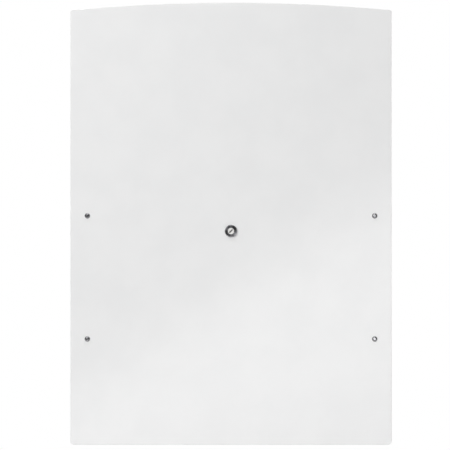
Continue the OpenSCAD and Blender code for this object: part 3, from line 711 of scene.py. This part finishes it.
# %% Lock nut and washer
washer_radius, washer_thick = 12.0, 1
nut_flats = hexagon(22.0)
chamfered = lambda radius: lambda angle: min(nut_flats(angle), radius)
nut = [(barrel_radius, 0.4), (barrel_radius + 0.5, 0), (chamfered(11.0), 0),
       (chamfered(11.9), 0.35), (nut_flats, 0.9), (nut_flats, 4.1), (chamfered(11.9), 4.65),
       (chamfered(11.0), 5), (barrel_radius + 0.5, 5), (barrel_radius, 4.6)]
piece("hexagon_lock_nut", [turned(nut, (lock_x, leaf_high.y + washer_thick, lock_z), "Y", 96,
                                  ring=True)], "lock_nut")
piece("lock_spacer", [turned(washer(washer_radius, barrel_radius, 0, washer_thick, 0.2),
                             (lock_x, leaf_high.y, lock_z), "Y", ring=True)], "lock_washer")

# %% [markdown]
# ## The tube frame
# Welded frames are cut from drawn tube, whose corners are never square: outside they have a
# radius of about one and a half walls. A section with two rounded loops is carried from one
# end to the other. Where a rail meets the round column its end is cut to fit, so the start of
# each line along the rail depends on how far forward that line lies.

# %% Rails and stile
def tube(outer, inner, start, end, put):
    """A hollow section between `start(a, b)` and `end`, placed by put(along, a, b)."""
    n = len(outer)
    rings_of = [[(start(a, b), a, b) for a, b in outer], [(end, a, b) for a, b in outer],
                [(end, a, b) for a, b in inner], [(start(a, b), a, b) for a, b in inner]]
    points = [Vector(put(*p)) * mm for group in rings_of for p in group]
    faces = [(g * n + k, g * n + (k + 1) % n, (g + 1) % 4 * n + (k + 1) % n, (g + 1) % 4 * n + k)
             for g in range(4) for k in range(n)]
    return points, faces


column_radius, boss_clear = 19.0, 9.0
rail_front, rail_back, rail_half, rail_end, wall = -72.0, -57.0, 15.0, 561.0, 2.0
outer_corner, inner_corner = 2.6, 1.0
stile_low, stile_high, stile_from = -102.0, 102.0, 531


def coped(y, z):
    """Where a line along a rail starts: at the column's surface, and clear of the screw boss."""
    return max(boss_clear, math.sqrt(column_radius ** 2 - (y - axis_y) ** 2))


def rail(z):
    """A rail at height `z`, from the column to the free end."""
    outer = rounded(rail_front, rail_back, z - rail_half, z + rail_half, outer_corner)
    inner = rounded(rail_front + wall, rail_back - wall, z - rail_half + wall,
                    z + rail_half - wall, inner_corner)
    return tube(outer, inner, coped, rail_end, lambda x, y, zz: (x, y, zz))


piece("upper_frame_rail", [rail(screw_rows[1])], "upper_rail")
piece("lower_frame_rail", [rail(screw_rows[0])], "lower_rail")

stile_outer = rounded(stile_from, rail_end, rail_front, rail_back, outer_corner)
stile_inner = rounded(stile_from + wall, rail_end - wall, rail_front + wall, rail_back - wall,
                      inner_corner)
piece("end_stile", [tube(stile_outer, stile_inner, lambda x, y: stile_low, stile_high,
                         lambda z, x, y: (x, y, z))], "free_stile")

# %% Rail end caps
cap_cover, cap_depth, inset = 2, 10, wall + 0.2
caps = []
for z in screw_rows:
    cover = rounded(rail_front, rail_back, z - rail_half, z + rail_half, outer_corner)
    plug_in = rounded(rail_front + inset, rail_back - inset, z - rail_half + inset,
                      z + rail_half - inset, 0.8)
    caps += [plate([cover], rail_end, rail_end + cap_cover, 0.7, "X", 3),
             plate([plug_in], rail_end - cap_depth, rail_end, 0.3, "X")]
piece("rail_plugs", caps, "rail_end_caps")

# %% [markdown]
# ## Parts that keep the CAD shape
# The column has a slot and two holes, and the bosses and brackets are cut to fit their
# neighbours. The CAD solids already have those shapes right, and only their knife-sharp edges
# give them away. So `eased` copies a solid, joins the flat triangles back into whole faces,
# and bevels every sharp edge. The CAD part itself is never touched.

# %% Ease the edges of a CAD shape
def eased(node, ease):
    """The shape of a CAD part with its sharp edges rounded over by `ease` millimetres."""
    bm = bmesh.new()
    bm.from_mesh(frame["nodes"][node].data)
    bmesh.ops.remove_doubles(bm, verts=bm.verts, dist=1e-6)
    bmesh.ops.dissolve_limit(bm, angle_limit=0.001, verts=bm.verts, edges=bm.edges)
    sharp = [e for e in bm.edges if e.is_manifold and e.calc_face_angle() > crisp_edge]
    bmesh.ops.bevel(bm, geom=sharp, offset=ease * mm, offset_type="OFFSET", segments=2,
                    profile=0.5, affect="EDGES", clamp_overlap=True)
    shape = ([v.co.copy() for v in bm.verts], [tuple(v.index for v in f.verts) for f in bm.faces])
    bm.free()
    return shape


for name, node, ease in (("turning_column", "hinge_column", 0.4),
                         ("frame_bosses", "panel_bosses", 0.5),
                         ("top_bearing_bracket", "upper_bracket", 0.8),
                         ("bottom_bearing_bracket", "lower_bracket", 0.8),
                         ("anchor_ring", "spring_anchor", 0.3),
                         ("spring_tension_collar", "spring_collar", 0.3),
                         ("anchor_saddle_screw", "anchor_screw", 0.2)):
    piece(name, [eased(node, ease)], node)

# %% [markdown]
# ## The hinge
# A ground shaft stands still between the brackets, and two nylon bushes let the column turn
# on it. All of them are lathe work. The caps over the shaft's ends are moulded, so they have
# generous round edges and the small mark where the plastic entered the mould.

# %% Shaft, bushes, washer and caps
hinge = (0, axis_y, 0)
shaft_radius, shaft_low, shaft_high, bush_seat = 8, -165, 163.5, 145
piece("ground_pivot_shaft", [turned(bar(shaft_radius, shaft_low, shaft_high, 1), hinge, sides=64)],
      "pivot_shaft")
bush = [(8.45, 3), (8.05, 2.6), (8.05, -19.6), (8.45, -20), (16.1, -20), (16.5, -19.6), (16.5, 0),
        (18.6, 0), (18.9, 0.15), (19, 0.5), (19, 2.5), (18.9, 2.85), (18.6, 3)]
piece("top_nylon_bush", [turned(bush, (0, axis_y, bush_seat), "Z", 64, ring=True)], "upper_bush")
piece("bottom_nylon_bush", [turned(bush, (0, axis_y, -bush_seat), "-Z", 64, ring=True)],
      "lower_bush")
thrust_radius, thrust_low, thrust_high = 16, -150, -148.04
piece("thrust_ring", [turned(washer(thrust_radius, shaft_radius, thrust_low, thrust_high, 0.3),
                             hinge, "Z", 64, ring=True)], "thrust_washer")
cap_high, cap_low = 160.5, -162
cap = [(0, 3), (8, 3), (8, 0), (11.6, 0), (11.9, 0.12), (12, 0.4), (12, 4.8), (11.85, 5.7),
       (11.4, 6.4), (10.8, 6.85), (10, 7), (2.9, 7), (2.7, 6.85), (2.5, 6.75), (0, 6.75)]
piece("shaft_end_caps", [turned(cap, (0, axis_y, cap_high), "Z", 64),
                         turned(cap, (0, axis_y, cap_low), "-Z", 64)], "shaft_caps")

# %% Stop and cushion pads
stop_at, dowel_radius, dowel_back, dowel_front = (0, axis_y, -4.6), 3, -8, 22
sleeve_radius, sleeve_from = 5, 15.5
piece("stop_dowel", [turned(bar(dowel_radius, dowel_back, dowel_front, 0.5), stop_at, "Y", 32)],
      "stop_pin")
piece("stop_bumper", [turned(washer(sleeve_radius, dowel_radius, sleeve_from, dowel_front, 0.7),
                             stop_at, "Y", 48, ring=True)], "stop_sleeve")
pad_radius, pad_thick = 8, 1.5
piece("leaf_cushion_pads", [turned(washer(pad_radius, screw_hole, 0, pad_thick, 0.4),
                                   (x, leaf_high.y, z), "Y", 48, ring=True)
                            for x in screw_columns for z in screw_rows], "panel_pads")

# %% [markdown]
# ## The closing spring
# A torsion spring is one wire: a straight tail, a bend on to the coil, fourteen turns, and the
# same again at the top. One end stays with the post and the other goes round with the leaf;
# here the piece is laid in its rest place and tied to neither body.

# %% Spring
coil_radius, wire_radius, coil_pitch, coil_count = 11.5, 1.5, 3.6, 14
coil_low, bend_radius, tail_length, coil_steps = -106.0, 4.0, 8.0, 36
coil_high = coil_low + coil_pitch * coil_count
bend_steps = 6
bends = [math.radians(90 * k / bend_steps) for k in range(bend_steps + 1)]
lead = lambda lean: bend_radius * (1 - math.cos(lean)) / coil_radius
full_lead = lead(math.pi / 2)
route = [(0, coil_low - bend_radius - tail_length)]
route += [(lead(b), coil_low - bend_radius * (1 - math.sin(b))) for b in bends]
route += [(full_lead + 2 * math.pi * k / coil_steps, coil_low + coil_pitch * k / coil_steps)
          for k in range(1, coil_count * coil_steps)]
last = full_lead + 2 * math.pi * coil_count
route += [(last + full_lead - lead(b), coil_high + bend_radius * (1 - math.sin(b)))
          for b in reversed(bends)]
route.append((last + full_lead, coil_high + bend_radius + tail_length))
wire = [(coil_radius * math.cos(a), axis_y + coil_radius * math.sin(a), z) for a, z in route]
piece("torsion_spring", [swept(wire, lambda k: wire_radius, 10)], "closing_spring",
      across=("post", "leaf", (0, axis_y * mm, coil_low * mm), (0, axis_y * mm, coil_high * mm)))

# %% [markdown]
# ## The mounting plate
# A laser-cut plate holds everything. Its holes and its outline are cut in one go, and the
# edges are broken before painting, which the eased edge stands for.

# %% Mounting plate
plate_half_wide, plate_half_high, plate_corner, plate_front = 30, 200, 8, -6
mount_columns, mount_rows, mount_hole, countersunk_hole = (-18, 18), (-185, 185), 4.5, 5.9
plate_outline = rounded(-plate_half_wide, plate_half_wide, -plate_half_high, plate_half_high,
                        plate_corner, 10)
plate_holes = [hole((x, z), mount_hole) for x in mount_columns for z in mount_rows]
plate_holes += [hole((x, z), countersunk_hole) for x in bracket_columns for z in bracket_rows]
piece("wall_plate", [plate([plate_outline] + plate_holes, plate_front, 0, 0.6)], "mounting_plate")

# %% [markdown]
# ## The bolt
# The rod lies behind the frame and slides in two plastic guides. At the crank's end it is
# milled flat for the yoke: the points of the round bar that stand in front of the flat are
# pushed back on to it, which is just what the cutter does.

# %% Rod and nose
rod_y, rod_z, rod_radius, rod_start, rod_end = -49.0, 73.49, 5, 297, 559
rod_flat_y, flat_end = -51.0, 325.0
rod_shape = [(0, rod_start), (rod_radius - 0.4, rod_start), (rod_radius, rod_start + 0.4),
             (rod_radius, flat_end), (rod_radius, flat_end + 0.01), (rod_radius, rod_end - 0.4),
             (rod_radius - 0.4, rod_end), (0, rod_end)]
points, faces = turned(rod_shape, (0, rod_y, rod_z), "X")
for point in points:
    if point.x < (flat_end + 0.005) * mm:
        point.y = max(point.y, rod_flat_y * mm)
piece("bolt_bar", [(points, faces)], "bolt_rod")
nose = [(0, rod_end), (rod_radius, rod_end), (rod_radius, 547), (5.6, 547), (5.9, 547.1),
        (6, 547.4), (6, 568.7), (5.92, 569.1), (4.2, 570.86), (3.85, 571), (0, 571)]
piece("bolt_tip", [turned(nose, (0, rod_y, rod_z), "X", 64)], "bolt_nose")

# %% Yoke and rivets
yoke_start, yoke_low, yoke_high, yoke_front = 252.28, 63.5, 83.48, -55
slot_from, slot_to, slot_low, slot_high = 257.28, 264.68, 67, 79.98
yoke_slot = rounded(slot_from, slot_to, slot_low, slot_high, 1.2)[::-1]
yoke_outline = rounded(yoke_start, flat_end, yoke_low, yoke_high, 2)
piece("slotted_yoke", [plate([yoke_outline, yoke_slot], yoke_front, rod_flat_y, 0.35)],
      "bolt_yoke")
rivet_at = (304, 318)
rivet = [(0, 1.2), (2.3, 1.2), (3.0, 0.95), (3.35, 0.5), (3.4, 0), (2, 0), (2, -11.2),
         (1.85, -11.7), (1.4, -12.05), (0, -12.2)]
piece("yoke_rivet_pair", [turned(rivet, (x, yoke_front, rod_z), "-Y", 32) for x in rivet_at],
      "yoke_rivets")

# %% Guides
guide_width, guide_bore = 14, 5.1


def guide(low_x, low_z, high_z):
    """A block behind the frame with the rod's bore through it."""
    block = rounded(rail_back, guide_back, low_z, high_z, 1.6)
    return plate([block, hole((rod_y, rod_z), guide_bore)], low_x, low_x + guide_width, 0.7, "X", 3)


piece("bolt_guide_inner", [guide(357.04, 64.49, 132.0)], "inner_guide")
piece("bolt_guide_outer", [guide(stile_from, 55.49, 91.49)], "outer_guide")

# %% [markdown]
# ## Weld beads
# Where tube meets tube on a painted frame there is always a bead under the paint. A welder
# moves the torch in small steps, so the bead is a row of ripples about a millimetre and a half
# apart. Each joint's outline is walked at an even pace and a tube that swells and narrows is
# swept along it, half sunk into the metal.

# %% Beads at every welded joint
ripple, bead_size, pace, boss_radius, boss_steps = 1.6, 1.25, 0.5, 8, 100


def paced(loop):
    """Even steps along a closed path."""
    loop = [Vector(p) for p in loop]
    steps = []
    for here, there in zip(loop, loop[1:] + loop[:1]):
        count = max(1, round((there - here).length / pace))
        steps += [here.lerp(there, k / count) for k in range(count)]
    return steps


def bead(loop):
    """A rippled bead along a closed path of even steps."""
    swell = lambda k: bead_size * (0.84 + 0.16 * abs(math.sin(math.pi * k * pace / ripple)))
    return swept(loop, swell, 8, loop=True)


beads = []
for z in (stile_low, stile_high):
    beads.append(bead(paced([(x, y, z) for x, y in stile_outer])))
for z in screw_rows:
    section = paced([(0, y, zz) for y, zz in rounded(rail_front, rail_back, z - rail_half,
                                                     z + rail_half, outer_corner)])
    beads.append(bead([(coped(p.y, p.z) + 0.2, p.y, p.z) for p in section]))
    for x in screw_columns:
        ring = arc((x, z), boss_radius, 0, 360, boss_steps)[:-1]
        on_column = lambda a: axis_y - math.sqrt(column_radius ** 2 - a * a)
        beads.append(bead([(a, on_column(a) if x == 0 else rail_front, b) for a, b in ring]))
piece("weld_beads", beads, body="leaf", slot="frame_paint")

# %% [markdown]
# ## Camera
# The gate is seen square on from well in front, through a long lens, so its sides stay
# parallel. The lens follows from how wide a strip of the world has to fill the frame.

# %% Camera
distance, strip = 3.2, 0.855
eye = bpy.data.objects.new("camera", bpy.data.cameras.new("camera"))
eye.location = (0.2616, leaf_low.y * mm - distance, 0.0996)
eye.rotation_euler = (math.pi / 2, 0, 0)
eye.data.sensor_width = 36
eye.data.lens = eye.data.sensor_width * distance / strip
scene.collection.objects.link(eye)
scene.camera = eye
print("lens", round(eye.data.lens, 1), "mm")

# %% [markdown]
# ## Light
# A white, slightly glossy leaf shows its light as much as its colour. A soft box above left
# makes the white fall off gently to the right. A large card low on the right stands where its
# mirror image covers the leaf's lower right part, which gives the brighter field with a soft
# slanting edge. A box overhead and two behind light the frame. The boxes are hidden from the
# camera, so they can stand anywhere. The sky is white where it is looked at directly, but dim
# as a light: polished metal turned towards a dim sky goes dark, and the few bright boxes in it
# then read as chrome.

# %% Soft boxes
def softbox(name, place, aim, wide, high, radiance, roll=0.0):
    """An area light of a given brightness, turned to face `aim`."""
    data = bpy.data.lights.new(name, "AREA")
    data.shape, data.size, data.size_y = "RECTANGLE", wide, high
    data.energy = radiance * math.pi * wide * high
    lamp = bpy.data.objects.new(name, data)
    lamp.visible_camera = False
    face = (Vector(aim) - Vector(place)).to_track_quat("-Z", "Y").to_matrix().to_4x4()
    lamp.matrix_world = (Matrix.Translation(place) @ face
                         @ Matrix.Rotation(math.radians(roll), 4, "Z"))
    scene.collection.objects.link(lamp)
    return lamp


leaf_centre = (0.273, -0.09, 0.1)
softbox("key_box", (-1.9, -2.3, 1.5), leaf_centre, 1.8, 1.8, 5.9)
softbox("slant_card", (0.950, -3.29, -0.752), (0.950, 0, -0.752), 2.6, 1.7, 3.08, roll=33.0)
softbox("top_box", (0.3, -0.6, 2.7), (0.3, 0, 0), 1.6, 1.6, 3.8)
softbox("rear_box", (-1.2, 2.4, 1.9), (0.25, 0, 0.05), 1.8, 1.4, 5.0)
softbox("rear_fill", (2.2, 1.8, 0.6), (0.25, 0, 0.05), 1.4, 1.6, 3.0)

# %% Sky
sky = bpy.data.worlds.new("studio")
sky.use_nodes = True
scene.world = sky
tree = sky.node_tree
tree.nodes.clear()
lit, seen = (tree.nodes.new("ShaderNodeBackground") for k in range(2))
for part, strength in ((lit, 0.16), (seen, 1.0)):
    part.inputs["Color"].default_value = (1, 1, 1, 1)
    part.inputs["Strength"].default_value = strength
looked_at, either = tree.nodes.new("ShaderNodeLightPath"), tree.nodes.new("ShaderNodeMixShader")
tree.links.new(looked_at.outputs["Is Camera Ray"], either.inputs[0])
tree.links.new(lit.outputs[0], either.inputs[1])
tree.links.new(seen.outputs[0], either.inputs[2])
tree.links.new(either.outputs[0], tree.nodes.new("ShaderNodeOutputWorld").inputs["Surface"])
scene.view_settings.view_transform = "Standard"

# %% Floor
floor_mesh = bpy.data.meshes.new("pale_floor")
bm = bmesh.new()
bmesh.ops.create_circle(bm, cap_ends=True, segments=128, radius=1.85)
bm.to_mesh(floor_mesh)
bm.free()
floor = bpy.data.objects.new("pale_floor", floor_mesh)
floor.location = (0.27, 0, -0.6)
scene.collection.objects.link(floor)
pale = Finish("pale_floor", Roughness=0.6)
pale.set("Base Color", pale.mix(pale.grain(300, detail=3.0), (0.86, 0.86, 0.86), (0.9, 0.9, 0.9)))
floor_mesh.materials.append(pale.material)
